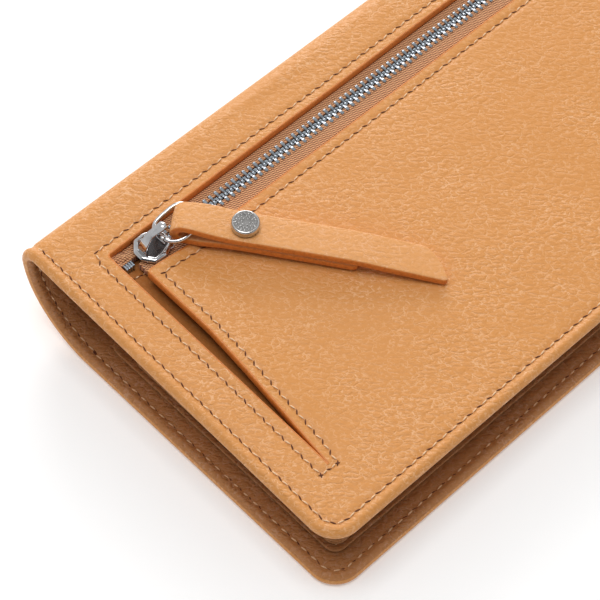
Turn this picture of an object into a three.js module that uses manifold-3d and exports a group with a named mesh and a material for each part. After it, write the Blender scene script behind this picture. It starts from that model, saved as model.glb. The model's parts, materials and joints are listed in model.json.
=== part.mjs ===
// A long bifold wallet lying closed on its back cover. Millimetres, +Z up, X along the fold, +Y towards the spine.
import * as THREE from "three";
import { mergeVertices } from "three/addons/utils/BufferGeometryUtils.js";
import Module from "manifold-3d";

const wasm = await Module();
wasm.setup();

// ---- driving dimensions ----
const walletDepth = 103.2; // spine bulge to the back cover's open edge
const frontLength = 190; // front cover, along the fold
const backOverhang = 0.6; // the back cover shows this much past the front one
const leather = 2.6; // a cover: outer leather, board and inner leather
const slope = Math.atan(0.05); // the front cover leans down to its open edge
const spineRadius = 21; // outside of the back cover's sweep up into the spine
const bendRadius = 5; // outside of the tight bend under the front cover
const cornerRadius = 7; // plan corners of both covers
const gap = 0.3; // clearance between two separate pieces

// ---- worked out from them ----
const halfDepth = walletDepth / 2;
const spineY = halfDepth - spineRadius;
const bendY = halfDepth - bendRadius;
const bendAngle = Math.PI / 2 + slope;
const frontHalf = frontLength / 2;
const backHalf = frontHalf + backOverhang;
const frontTopY = bendY - bendRadius * Math.sin(slope);
const frontTopZ = spineRadius + bendRadius * Math.cos(slope);
const frontDepth = (frontTopY + halfDepth - 1.2) / Math.cos(slope);
const lowerFold = THREE.MathUtils.degToRad(20); // where the spine starts to fold off the back cover
const middleFold = THREE.MathUtils.degToRad(55); // the crease half way up the spine

// ---- zip and pocket, in the front cover's own frame: y 0 at the bend, z 0 on its outer face ----
const zipY = -14.75; // centre line of the zip
const windowHalf = 82; // the window's half length along the fold
const windowTop = zipY + 4.45;
const windowBottom = zipY - 6.1;
const slitEndY = -81.5;
const slitWidth = 3.2;
const toothPitch = 1.75;
const toothHeight = 2.6;
const tapeTop = -leather - gap;
const tapeThickness = 0.6;
const tapeInner = 2.45; // from the centre line to a tape's inner edge
const tapeWidth = 8.8;
const chainZ = tapeTop - tapeThickness / 2;
const sliderNose = -77.1;
const sliderLength = 8.9;
const teethStart = sliderNose + 3.4;
const teethEnd = 78;
const sheet = 0.7; // card pocket leather and lining

// ---- pull ----
const pullAngle = THREE.MathUtils.degToRad(-52.6); // the strap's direction on the flap
const ringRadius = 4.85;
const ringWire = 0.5;
const ringTilt = THREE.MathUtils.degToRad(8);
const ringPivotX = -71.15;
const ringPivotZ = 2.8;
const ringY = zipY - 0.6;
const ringX = ringPivotX + ringRadius * Math.cos(ringTilt);
const ringZ = ringPivotZ + ringRadius * Math.sin(ringTilt);
const strapThickness = 2.1;
const strapHalf = 4.15;
const strapFoldHalf = 3.7;
const foldCentre = { x: 2.75, z: 3.65 };
const foldInner = 1.25;
const rivetX = 16.2;
const lowerEnd = 42.3;
const tipX = 62.7;

// ---- materials ----
const finish = (color, roughness, metalness = 0) =>
  new THREE.MeshStandardMaterial({ color, roughness, metalness });
const tan = finish(0xd0925a, 0.6);
const paleTan = finish(0xc0834e, 0.7);
const cloth = finish(0x9a6a45, 0.9);
const tape = finish(0xb98058, 0.9);
const nickel = finish(0xc9ccd0, 0.2, 1);
const steel = finish(0x9fa3a8, 0.35, 1);

// ---- helpers ----
function named(name, geometry, material) {
  const mesh = new THREE.Mesh(geometry, material);
  mesh.name = name;
  return mesh;
}

function solid(geometry) {
  const bare = geometry.clone();
  bare.deleteAttribute("normal");
  bare.deleteAttribute("uv");
  const merged = mergeVertices(bare, 1e-4);
  return new wasm.Manifold(
    new wasm.Mesh({
      numProp: 3,
      vertProperties: merged.attributes.position.array,
      triVerts: new Uint32Array(merged.index.array),
    }),
  );
}

function geometryOf(body) {
  const mesh = body.getMesh();
  const geometry = new THREE.BufferGeometry();
  geometry.setAttribute("position", new THREE.BufferAttribute(mesh.vertProperties, 3));
  geometry.setIndex(new THREE.BufferAttribute(mesh.triVerts, 1));
  return geometry.toNonIndexed();
}

function shapeOf(points) {
  return new THREE.Shape(points.map(([x, y]) => new THREE.Vector2(x, y)));
}

// A plan shape from z0 up to z1, with its rims rounded by `round`.
function plate(shape, z0, z1, round = 0, steps = 3) {
  const geometry = new THREE.ExtrudeGeometry(shape, {
    depth: z1 - z0 - 2 * round,
    bevelEnabled: round > 0,
    bevelSize: round,
    bevelThickness: round,
    bevelOffset: -round,
    bevelSegments: steps,
    curveSegments: 6,
  });
  return geometry.translate(0, 0, z0 + round);
}

// A block between two corners.
function block(x0, x1, y0, y1, z0, z1, round = 0) {
  return plate(shapeOf([[x0, y0], [x1, y0], [x1, y1], [x0, y1]]), z0, z1, round, 1);
}

// A side view given as [y, z] points, drawn out along X from x0 to x1.
function alongX(points, x0, x1, curve = 6) {
  const shape = points instanceof THREE.Shape ? points : shapeOf(points);
  const geometry = new THREE.ExtrudeGeometry(shape, {
    depth: x1 - x0,
    bevelEnabled: false,
    curveSegments: curve,
  });
  // Shape x becomes Y, shape y becomes Z and the depth becomes X.
  const turn = new THREE.Matrix4().makeBasis(
    new THREE.Vector3(0, 1, 0),
    new THREE.Vector3(0, 0, 1),
    new THREE.Vector3(1, 0, 0),
  );
  return geometry.applyMatrix4(turn).translate(x0, 0, 0);
}

// A side view given as [x, z] points, drawn out along Y from y0 to y1.
function alongY(points, y0, y1) {
  const shape = points instanceof THREE.Shape ? points : shapeOf(points);
  const geometry = new THREE.ExtrudeGeometry(shape, {
    depth: y1 - y0,
    bevelEnabled: false,
    curveSegments: 8,
  });
  const turn = new THREE.Matrix4().makeBasis(
    new THREE.Vector3(1, 0, 0),
    new THREE.Vector3(0, 0, 1),
    new THREE.Vector3(0, -1, 0),
  );
  return geometry.applyMatrix4(turn).translate(0, y1, 0);
}

// A plan with square corners at y1 and rounded ones at y0, the open edge.
function coverPlan(half, y0, y1, radius) {
  const shape = new THREE.Shape();
  shape.moveTo(-half, y1);
  shape.lineTo(-half, y0 + radius);
  shape.absarc(-half + radius, y0 + radius, radius, Math.PI, 1.5 * Math.PI, false);
  shape.lineTo(half - radius, y0);
  shape.absarc(half - radius, y0 + radius, radius, 1.5 * Math.PI, 2 * Math.PI, false);
  shape.lineTo(half, y1);
  return shape;
}

// A slice of a bent sheet: outside radius r about (y, z), between two angles from straight down.
function bentSlice(y, z, r, from, to) {
  const shape = new THREE.Shape();
  const a0 = from - Math.PI / 2;
  const a1 = to - Math.PI / 2;
  shape.absarc(y, z, r, a0, a1, false);
  shape.absarc(y, z, r - leather, a1, a0, true);
  return shape;
}

// ---- back cover, root ----
function backCoverLeather() {
  const flat = plate(coverPlan(backHalf, -halfDepth, spineY + 0.5, cornerRadius), 0, leather, 0.9);
  const sweep = alongX(bentSlice(spineY, spineRadius, spineRadius, 0, lowerFold - 0.01), -backHalf, backHalf);
  const trim = alongX([[spineY, -1], [spineY + 3, -1], [spineY + 3, leather + 1], [spineY, leather + 1]],
    -backHalf - 1, backHalf + 1);
  return geometryOf(solid(flat).subtract(solid(trim)).add(solid(sweep)));
}

function cardSlot(half, y0, y1, z0, z1) {
  return plate(coverPlan(half, y0, y1, 4), z0, z1);
}

function backParts() {
  const group = new THREE.Group();
  group.add(named("back_cover_leather", backCoverLeather(), tan));
  const inner = backHalf - 6;
  const edge = -halfDepth + 6;
  const step = sheet + gap;
  const floor = leather + gap;
  group.add(named("back_pocket_panel", cardSlot(inner, edge, spineY - 1, floor, floor + sheet), paleTan));
  for (let i = 0; i < 3; i++) {
    const z = floor + step * (i + 1);
    const slot = cardSlot(inner - 1, edge + 1, spineY - 8 - 11 * i, z, z + sheet);
    group.add(named(`back_card_slot_${i + 1}`, slot, paleTan));
  }
  return group;
}

// ---- spine ----
function spineLower() {
  const shape = bentSlice(spineY, spineRadius, spineRadius, lowerFold + 0.01, middleFold - 0.007);
  return alongX(shape, -backHalf, backHalf);
}

function spineUpper() {
  const sweep = bentSlice(spineY, spineRadius, spineRadius, middleFold + 0.007, Math.PI / 2);
  const bend = bentSlice(bendY, spineRadius, bendRadius, Math.PI / 2 - 0.002, (Math.PI + bendAngle) / 2 - 0.03);
  return geometryOf(solid(alongX(sweep, -backHalf, backHalf, 5)).add(solid(alongX(bend, -backHalf, backHalf, 4))));
}

function frontBend() {
  const shape = bentSlice(bendY, spineRadius, bendRadius, (Math.PI + bendAngle) / 2 + 0.03, Math.PI / 2 + bendAngle);
  return alongX(shape, -frontHalf, frontHalf, 4);
}

// ---- front cover ----
function frontCoverLeather() {
  const outline = plate(coverPlan(frontHalf, -frontDepth, -gap, cornerRadius), -leather, 0, 0.9);
  const cut = shapeOf([
    [-windowHalf, windowTop],
    [-windowHalf, slitEndY],
    [-windowHalf + 0.5, slitEndY],
    [-windowHalf + slitWidth, slitEndY / 2],
    [-windowHalf + slitWidth, windowBottom],
    [windowHalf, windowBottom],
    [windowHalf, windowTop],
  ]);
  return geometryOf(solid(outline).subtract(solid(plate(cut, -leather - 1, 1))));
}

// Soft leather that closes the slit: level under the frame, then down under the flap.
function slitGusset() {
  const thick = 0.8;
  const top = tapeTop;
  const low = tapeTop - 1.5;
  const run = [
    [-windowHalf - 5, top],
    [-windowHalf - 0.3, top],
    [-windowHalf + slitWidth + 0.4, low],
    [-windowHalf + 10, low],
  ];
  const strip = [...run, ...run.map(([x, z]) => [x, z - thick]).reverse()];
  const along = alongY(strip, slitEndY - 3, windowBottom - 5.5);
  const head = block(-windowHalf - 2, sliderNose - 0.9, windowBottom - 5.6, zipY - 2, top - thick, top);
  return geometryOf(solid(along).add(solid(head)));
}

function zipTape(x0, side) {
  const inner = zipY + side * tapeInner;
  const outer = zipY + side * (tapeInner + tapeWidth);
  return block(x0, windowHalf + 2, Math.min(inner, outer), Math.max(inner, outer), tapeTop - tapeThickness, tapeTop);
}

// A row of teeth on their bead; `side` is +1 on the spine side, and the other row sits half a pitch along.
function teethRow(side) {
  const points = [];
  const head = -0.75;
  const root = 1.6;
  const back = 2.15;
  const start = teethStart + (side > 0 ? 0 : toothPitch / 2);
  const count = Math.floor((teethEnd - start) / toothPitch);
  for (let i = 0; i < count; i++) {
    const x = start + (i + 0.5) * toothPitch;
    points.push([x - 0.5, root], [x - 0.31, head], [x + 0.31, head], [x + 0.5, root]);
  }
  const first = points[0][0];
  const last = points[points.length - 1][0];
  points.push([last, back], [first, back]);
  const placed = points.map(([x, y]) => [x, zipY + side * y]);
  return plate(shapeOf(placed), chainZ - toothHeight / 2, chainZ + toothHeight / 2);
}

function zipStop(x0, x1, y0, y1) {
  return block(x0, x1, y0, y1, chainZ - 1.2, chainZ + 1.2, 0.2);
}

// The coin pocket's bag: a sheet under the flap, folded near the open edge and brought back under the zip.
function coinPocketLining() {
  const thick = 0.5;
  const top = tapeTop - tapeThickness - gap;
  const floor = -6.6;
  const fold = -frontDepth + 9;
  const profile = [
    [zipY - 5, top], [zipY - 5, top - thick], [fold + thick, top - thick], [fold + thick, floor],
    [windowTop + 5, floor], [windowTop + 5, floor - thick], [fold, floor - thick], [fold, top],
  ];
  return alongX(profile.reverse(), -windowHalf + 10.5, windowHalf);
}

function frontParts() {
  const group = new THREE.Group();
  group.position.set(0, frontTopY, frontTopZ);
  group.rotation.x = slope;
  group.add(named("front_cover_leather", frontCoverLeather(), tan));
  group.add(named("slit_gusset", slitGusset(), paleTan));
  group.add(named("zip_tape_spine_side", zipTape(-windowHalf - 2, 1), tape));
  group.add(named("zip_tape_flap_side", zipTape(sliderNose - 0.5, -1), tape));
  group.add(named("zip_teeth_spine_side", teethRow(1), steel));
  group.add(named("zip_teeth_flap_side", teethRow(-1), steel));
  group.add(named("zip_stop_spine_side", zipStop(-80.8, -78.2, zipY + 0.3, zipY + 2.1), steel));
  group.add(named("zip_stop_flap_side", zipStop(-77.5, -76.1, zipY - 2.1, zipY - 1.2), steel));
  group.add(named("zip_bottom_stop", zipStop(teethEnd + 0.5, teethEnd + 2.5, zipY - 2.1, zipY + 2.1), steel));
  group.add(named("coin_pocket_lining", coinPocketLining(), cloth));
  const inner = frontHalf - 6;
  const top = -7.4;
  const step = sheet + gap;
  group.add(named("front_lining_panel", cardSlot(inner, -frontDepth + 6, -3, top - sheet, top), paleTan));
  for (let i = 0; i < 3; i++) {
    const z = top - step * (i + 1);
    const slot = cardSlot(inner - 1, -frontDepth + 7, -12 - 11 * i, z - sheet, z);
    group.add(named(`front_card_slot_${i + 1}`, slot, paleTan));
  }
  return group;
}

// ---- slider, ring and strap, in the front cover's frame ----
function sliderPlan() {
  const end = sliderNose + sliderLength;
  const half = [[sliderNose, 1.2], [sliderNose + 1.7, 4.05], [sliderNose + 4.4, 4.2], [end - 0.3, 3.3], [end, 2.9]];
  const other = half.map(([x, y]) => [x, -y]).reverse();
  return shapeOf([...other, ...half].map(([x, y]) => [x, zipY + y]));
}

function sliderBody() {
  const top = -0.3;
  const cavity = 1.5; // half the height of the channel the chain runs in
  const flange = 0.9;
  const plan = sliderPlan();
  let body = solid(plate(plan, chainZ + cavity, top, 0.45, 1));
  body = body.add(solid(plate(plan, chainZ - cavity - 1.1, chainZ - cavity, 0.3, 1)));
  // The post between the plates that parts the two rows of teeth.
  body = body.add(solid(block(sliderNose + 0.9, sliderNose + 2.9, zipY - 0.6, zipY + 0.6, chainZ - 2, chainZ + 2)));
  for (const side of [-1, 1]) {
    const y0 = zipY + side * (tapeInner + 0.02);
    const y1 = zipY + side * 3.2;
    const x0 = sliderNose + 3.2;
    const x1 = sliderNose + sliderLength - 0.4;
    const low = Math.min(y0, y1);
    const high = Math.max(y0, y1);
    body = body.add(solid(block(x0, x1, low, high, chainZ + cavity - flange, chainZ + cavity + 0.2)));
    body = body.add(solid(block(x0, x1, low, high, chainZ - cavity - 0.2, chainZ - cavity + flange)));
  }
  const bridge = [
    [-75.7, top - 0.5], [-75.2, 2.2], [-74.2, 3.9], [-73.3, 4.5], [-68.8, 4.5], [-68.7, 3.6],
    [-72.7, 3.6], [-73.1, 3.2], [-73.3, top - 0.5],
  ];
  return geometryOf(body.add(solid(alongY(bridge.reverse(), zipY - 1, zipY + 1))));
}

function pullRing() {
  const profile = [];
  for (let i = 0; i <= 10; i++) {
    const a = (-i / 10) * 2 * Math.PI;
    profile.push(new THREE.Vector2(ringRadius + ringWire * Math.cos(a), ringWire * Math.sin(a)));
  }
  const geometry = new THREE.LatheGeometry(profile.reverse(), 36);
  // Lathe turns about Y; the ring lies in its own XY plane, then leans up from the slider.
  return geometry.rotateX(Math.PI / 2).rotateY(-ringTilt);
}

// The strap seen from its side: x along it from the ring's centre, z above the flap.
function strapSide() {
  const under = [[5, 0.3], [10, 1.3], [rivetX, 1.3], [lowerEnd, 0.35]];
  const over = [[6.5, 4.9], [12, 4.05], [rivetX, 3.75], [lowerEnd, 2.8], [tipX, 0.25]];
  const up = ([x, z]) => [x, z + strapThickness];
  const shape = new THREE.Shape();
  const { x, z } = foldCentre;
  shape.moveTo(x, z - foldInner - strapThickness);
  under.forEach((p) => shape.lineTo(...p));
  [...under].reverse().forEach((p) => shape.lineTo(...up(p)));
  shape.lineTo(x, z - foldInner);
  shape.absarc(x, z, foldInner, 1.5 * Math.PI, 0.5 * Math.PI, true);
  over.forEach((p) => shape.lineTo(...p));
  [...over].reverse().forEach((p) => shape.lineTo(...up(p)));
  shape.lineTo(x, z + foldInner + strapThickness);
  shape.absarc(x, z, foldInner + strapThickness, 0.5 * Math.PI, 1.5 * Math.PI, false);
  return shape;
}

// The strap seen from above: narrower through the ring, one corner of the tip rounded off.
function strapPlan() {
  const shape = new THREE.Shape();
  shape.moveTo(-2, -strapFoldHalf);
  shape.lineTo(3, -strapFoldHalf);
  shape.lineTo(9, -strapHalf);
  shape.lineTo(tipX - 0.6, -strapHalf);
  shape.quadraticCurveTo(tipX + 0.1, -strapHalf, tipX, -strapHalf + 0.7);
  shape.quadraticCurveTo(tipX - 1.6, strapHalf, tipX - 7.5, strapHalf);
  shape.lineTo(9, strapHalf);
  shape.lineTo(3, strapFoldHalf);
  shape.lineTo(-2, strapFoldHalf);
  return shape;
}

function turned(radius, height, z0) {
  return new THREE.CylinderGeometry(radius, radius, height, 24).rotateX(Math.PI / 2).translate(rivetX, 0, z0 + height / 2);
}

function pullStrap() {
  const side = solid(alongY(strapSide(), -strapHalf - 1, strapHalf + 1));
  const plan = solid(plate(strapPlan(), -1, 9));
  return geometryOf(side.intersect(plan).subtract(solid(turned(1.5, 12, -1))));
}

function rivetCap() {
  const bottom = 6.1;
  const profile = [[0, 0], [3.2, 0], [3.25, 0.4], [3.2, 1.3], [2.9, 1.65], [2.1, 1.7], [0, 1.7]];
  const geometry = new THREE.LatheGeometry(profile.map(([r, z]) => new THREE.Vector2(r, z)), 28);
  return geometry.rotateX(Math.PI / 2).translate(rivetX, 0, bottom);
}

function rivetPost() {
  return geometryOf(solid(turned(1.2, 5.4, 0.5)).add(solid(turned(2.75, 0.75, 0.2))));
}

function pullParts() {
  const group = new THREE.Group();
  group.position.set(0, frontTopY, frontTopZ);
  group.rotation.x = slope;
  group.add(named("slider_body", sliderBody(), nickel));
  const ring = named("pull_ring", pullRing(), nickel);
  ring.position.set(ringX, ringY, ringZ);
  group.add(ring);
  const strap = new THREE.Group();
  strap.position.set(ringX, ringY, 0);
  strap.rotation.z = pullAngle;
  strap.add(named("pull_strap", pullStrap(), tan));
  strap.add(named("rivet_cap", rivetCap(), nickel));
  strap.add(named("rivet_post", rivetPost(), nickel));
  group.add(strap);
  return group;
}

const wallet = new THREE.Group();
wallet.add(backParts());
wallet.add(named("spine_lower_leather", spineLower(), tan));
wallet.add(named("spine_upper_leather", spineUpper(), tan));
wallet.add(named("front_bend_leather", frontBend(), tan));
wallet.add(frontParts());
wallet.add(pullParts());

export default wallet;
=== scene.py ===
# A long bifold wallet in pebbled leather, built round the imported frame.
# Shapes are worked out in mm, in the frame's axes or in the front cover's own, and become metres in piece().
import json
import math
import random

import bmesh
import bpy
import numpy as np
from mathutils import Matrix, Vector


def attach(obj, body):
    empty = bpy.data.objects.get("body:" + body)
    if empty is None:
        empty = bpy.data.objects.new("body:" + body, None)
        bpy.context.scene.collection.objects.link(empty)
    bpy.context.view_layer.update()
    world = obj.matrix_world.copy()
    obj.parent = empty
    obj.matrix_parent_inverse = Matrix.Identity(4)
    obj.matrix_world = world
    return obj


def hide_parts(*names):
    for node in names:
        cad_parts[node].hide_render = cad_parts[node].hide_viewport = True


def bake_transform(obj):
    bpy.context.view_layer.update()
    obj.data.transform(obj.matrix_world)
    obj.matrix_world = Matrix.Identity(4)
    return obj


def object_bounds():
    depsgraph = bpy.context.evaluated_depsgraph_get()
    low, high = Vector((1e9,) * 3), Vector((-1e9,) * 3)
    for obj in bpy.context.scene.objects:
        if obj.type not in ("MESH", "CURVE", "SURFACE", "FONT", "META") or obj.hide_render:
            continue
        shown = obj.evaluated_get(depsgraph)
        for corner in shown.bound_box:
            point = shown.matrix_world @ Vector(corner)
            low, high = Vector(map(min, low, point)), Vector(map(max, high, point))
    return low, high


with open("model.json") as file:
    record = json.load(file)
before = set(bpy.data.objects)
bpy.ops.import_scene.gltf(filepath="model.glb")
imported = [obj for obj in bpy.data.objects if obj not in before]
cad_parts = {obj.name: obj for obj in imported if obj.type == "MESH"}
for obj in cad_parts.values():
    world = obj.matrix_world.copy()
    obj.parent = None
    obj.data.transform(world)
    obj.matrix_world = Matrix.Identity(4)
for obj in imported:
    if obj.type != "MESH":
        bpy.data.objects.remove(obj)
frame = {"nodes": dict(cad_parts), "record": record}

cad_low, cad_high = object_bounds()
random.seed(7)
MM = 0.001
LEATHER = 2.6  # thickness of a cover
SEAM = 2.95  # from an edge to its stitching
GROOVE = 0.28  # how far the stitching draws the leather in
STITCH = 3.1  # from one stitch to the next round a cover
THREAD = 0.4  # width of a stitch
PLEAT = 1.7  # from one gather to the next beside a turned edge
CORNER = 7.0  # rounding of a cover's open corners
WEAVE = 0.62  # one rib of the zip's tape
TAPE_ROW = 0.55  # one row of the tape's threads
CHAIN_RISE = 0.3  # the zip's chain stands up through the window
COIN_TOP = -4.95  # the coin pocket's upper layer, below the cover's outer face

# ---- places read from the frame ----
joints = {j["name"]: j for j in frame["record"]["behaviour"]["joints"]}


def joint_at(name):
    """A joint's place, in mm."""
    return Vector(joints[name]["pos_m"]) / MM


tilt_axis = Vector(joints["ring_tilt"]["axis"])
slope = math.atan2(tilt_axis.z, tilt_axis.y)
LOWER_FOLD = math.radians(20)  # where the spine's first fold lies on its curve
root_fold, cover_fold = joint_at("spine_root_fold"), joint_at("cover_fold")
spine_r = root_fold.z / (1 - math.cos(LOWER_FOLD))
spine_y = root_fold.y - spine_r * math.sin(LOWER_FOLD)
bend_turn = math.pi / 2 + slope
bend_r = (cad_high.y / MM - cover_fold.y) / (1 - math.cos(bend_turn / 2))
bend_y = cad_high.y / MM - bend_r
front_origin = Vector((0, bend_y - bend_r * math.sin(slope), spine_r + bend_r * math.cos(slope)))
ROW = Matrix.Scale(MM, 4)
FRONT = Matrix.Translation(front_origin * MM) @ Matrix.Rotation(slope, 4, "X") @ ROW
BACK = Matrix.Translation((0, spine_y * MM, 0)) @ ROW


def placed_box(node, place=FRONT):
    """Lowest and highest corner of a CAD node in a placed frame, in mm."""
    obj = frame["nodes"][node]
    turn = place.inverted() @ obj.matrix_world
    points = [turn @ v.co for v in obj.data.vertices]
    return (Vector(min(p[k] for p in points) for k in range(3)),
            Vector(max(p[k] for p in points) for k in range(3)))


front_low, front_high = placed_box("front_cover_leather")
front_half, front_depth = front_high.x, -front_low.y
back_low, back_high = placed_box("back_cover_leather", BACK)
back_half, back_depth = back_high.x, -back_low.y
spine_tape, flap_tape = placed_box("zip_tape_spine_side"), placed_box("zip_tape_flap_side")
zip_y = (spine_tape[0].y + flap_tape[1].y) / 2
window_half = spine_tape[1].x - 2
window_top, window_bottom = zip_y + 4.45, zip_y - 6.1
slit_end = placed_box("slit_gusset")[0].y + 3
slit_width = 3.2
teeth_low, teeth_high = placed_box("zip_teeth_spine_side")
chain_z = (teeth_low.z + teeth_high.z) / 2


# ---- mesh kit ----
def smooth(a, b, x):
    """0 up to a, 1 from b on, and a smooth step between them."""
    t = np.clip((np.asarray(x, float) - a) / (b - a), 0, 1)
    return t * t * (3 - 2 * t)


def hump(x, centre, width):
    """A bell, 1 high at its centre."""
    return np.exp(-((np.asarray(x, float) - centre) / width) ** 2)


def spaced(a, b, step):
    """Even values from a up to, not including, b."""
    n = max(1, round(abs(b - a) / step))
    return [a + (b - a) * i / n for i in range(n)]


def ripple(x, y, scale, seed=0.0):
    """Slow waves that never quite repeat, from -1 to 1."""
    u, v = x / scale + seed, y / scale - seed
    first = np.sin(1.9 * u + 1.3 * np.sin(0.7 * v))
    second = np.sin(2.3 * v + 1.7 * np.sin(0.9 * u))
    return (first + second + np.sin(1.1 * (u + v) + seed)) / 3


def piece(name, shape, material, place=ROW, body=None, sharp=35, replaces=()):
    """An object from (points in mm, faces), smooth but for edges sharper than `sharp` degrees."""
    verts, faces = shape
    mesh = bpy.data.meshes.new(name)
    mesh.from_pydata([tuple(v) for v in verts], [], [tuple(int(i) for i in f) for f in faces])
    mesh.transform(place)
    bm = bmesh.new()
    bm.from_mesh(mesh)
    bmesh.ops.remove_doubles(bm, verts=bm.verts, dist=0.001 * MM)
    bmesh.ops.dissolve_degenerate(bm, edges=bm.edges, dist=0.0005 * MM)
    bmesh.ops.recalc_face_normals(bm, faces=bm.faces)
    bm.to_mesh(mesh)
    bm.free()
    mesh.shade_smooth()
    mesh.set_sharp_from_angle(angle=math.radians(sharp))
    mesh.materials.append(material)
    obj = bpy.data.objects.new(name, mesh)
    bpy.context.collection.objects.link(obj)
    if body:
        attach(obj, body)
    if replaces:
        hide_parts(*replaces)
    return obj


def second_material(obj, material, wanted):
    """Give a second material to the faces for which `wanted` is true."""
    obj.data.materials.append(material)
    for face in obj.data.polygons:
        face.material_index = 1 if wanted(face) else 0


def loft(rings, caps="fan"):
    """A skin over closed rings; its ends close with fans, or with strips across flat rings."""
    rings = np.asarray(rings, float)
    n, m = rings.shape[:2]
    verts = rings.reshape(-1, 3).tolist()
    faces = []
    for i in range(n - 1):
        for j in range(m):
            k = (j + 1) % m
            faces.append((i * m + j, i * m + k, (i + 1) * m + k, (i + 1) * m + j))
    for i in (0, n - 1):
        if caps == "fan":
            centre = len(verts)
            verts.append(rings[i].mean(0).tolist())
            faces += [(centre, i * m + j, i * m + (j + 1) % m) for j in range(m)]
        elif caps == "strips":
            first, last = i * m, i * m + m - 1
            faces += [(first + j, first + j + 1, last - 1 - j, last - j) for j in range(m // 2 - 1)]
    return verts, faces


def around(count):
    """Even turns of a full circle, in radians."""
    return [2 * math.pi * k / count for k in range(count)]


def heading(path, i):
    """Unit direction of a plane path at its point i, from its neighbours."""
    (ax, ay), (bx, by) = path[max(i - 1, 0)], path[min(i + 1, len(path) - 1)]
    length = math.hypot(bx - ax, by - ay) or 1
    return (bx - ax) / length, (by - ay) / length


def gather(shapes):
    """Several (points, faces) as one."""
    verts, faces = [], []
    for v, f in shapes:
        base = len(verts)
        verts.extend(v)
        faces.extend([tuple(i + base for i in face) for face in f])
    return verts, faces


def lathe(profile, steps=48, centre=(0, 0, 0)):
    """A turned solid about Z from (radius, height) points that start and end on the axis."""
    x, y, base = centre
    turns = around(steps)
    rings = [[(x + r * math.cos(a), y + r * math.sin(a), base + z) for a in turns] for r, z in profile]
    return loft(rings, caps=None)


def rounded_polygon(corners, r, steps=4):
    """A closed outline through corners, each rounded off from `r` before it to `r` after it."""
    out = []
    for i, corner in enumerate(corners):
        c = Vector(corner)
        before, after = Vector(corners[i - 1]) - c, Vector(corners[(i + 1) % len(corners)]) - c
        a, b = c + before.normalized() * r, c + after.normalized() * r
        for k in range(steps + 1):
            t = k / steps
            out.append(a * (1 - t) ** 2 + c * 2 * t * (1 - t) + b * t * t)
    return out


def block(low, high, r, steps=3):
    """A box with all its edges rounded, standing on XY."""
    centre, half = (Vector(low) + Vector(high)) / 2, (Vector(high) - Vector(low)) / 2
    rings = []
    for k in range(-steps, steps + 1):
        a = k / steps * math.pi / 2
        inset = r * (1 - math.cos(a))
        z = centre.z + math.copysign(half.z - r, k) * (k != 0) + r * math.sin(a)
        w, h = half.x - inset, half.y - inset
        outline = rounded_polygon([(-w, -h), (w, -h), (w, h), (-w, h)], min(r, w * 0.9, h * 0.9))
        rings.append([(centre.x + p.x, centre.y + p.y, z) for p in outline])
    return loft(rings)


def flat_path(points, step):
    """Plan points about `step` apart along a polyline."""
    out = []
    for (ax, ay), (bx, by) in zip(points[:-1], points[1:]):
        n = max(1, int(math.hypot(bx - ax, by - ay) / step))
        out += [(ax + (bx - ax) * i / n, ay + (by - ay) * i / n) for i in range(n)]
    return out + [points[-1]]


def arc(cx, cy, r, start, end, steps=6):
    """Points on an arc; start and end in quarter turns."""
    turns = [(start + (end - start) * i / steps) * math.pi / 2 for i in range(steps + 1)]
    return [(cx + r * math.cos(a), cy + r * math.sin(a)) for a in turns]


def plan_grid(low, high, xs, ys, r, both=False):
    """x, y and distance from the edge over a rectangle with its corners at low y, or all four, rounded."""
    x, y = np.meshgrid(xs, ys)
    mid, half_x = (low[0] + high[0]) / 2, (high[0] - low[0]) / 2
    px = np.abs(x - mid) - (half_x - r)
    below = low[1] + r - y
    above = y - high[1] + r
    py = np.maximum(below, above) if both else below
    corner = (px > 0) & (py > 0)
    reach = np.maximum(px, py) / np.maximum(np.hypot(px, py), 1e-9)
    edge = np.where(corner, r - np.maximum(px, py), np.minimum(r - px, r - py))
    x = np.where(corner, mid + np.sign(x - mid) * (half_x - r + px * reach), x)
    new_y = np.where(below > above, low[1] + r - py * reach, high[1] - r + py * reach)
    y = np.where(corner, new_y, y)
    return x, y, edge


def rim_lines(r, n=5):
    """Distances from an edge that follow its rounding."""
    return [r * (1 - math.cos(k / n * math.pi / 2)) for k in range(n + 1)]


def rim_drop(edge, r=LEATHER / 2):
    """How far a face falls away at a distance from its rounded edge."""
    into = np.clip(r - edge, 0, r)
    return r - np.sqrt(np.maximum(r * r - into * into, 0))


def grid_lines(low, high, r, fine, coarse, margin, end_rim=True):
    """Grid values from low to high: round rims, then fine lines over the margin, then coarse ones."""
    rims = rim_lines(r)
    start = [low + e for e in rims[:-1]] + spaced(low + r, low + margin, fine)
    if not end_rim:
        return start + spaced(low + margin, high, coarse) + [high]
    end = spaced(high - margin, high - r, fine) + [high - e for e in reversed(rims)]
    return start + spaced(low + margin, high - margin, coarse) + end


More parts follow.
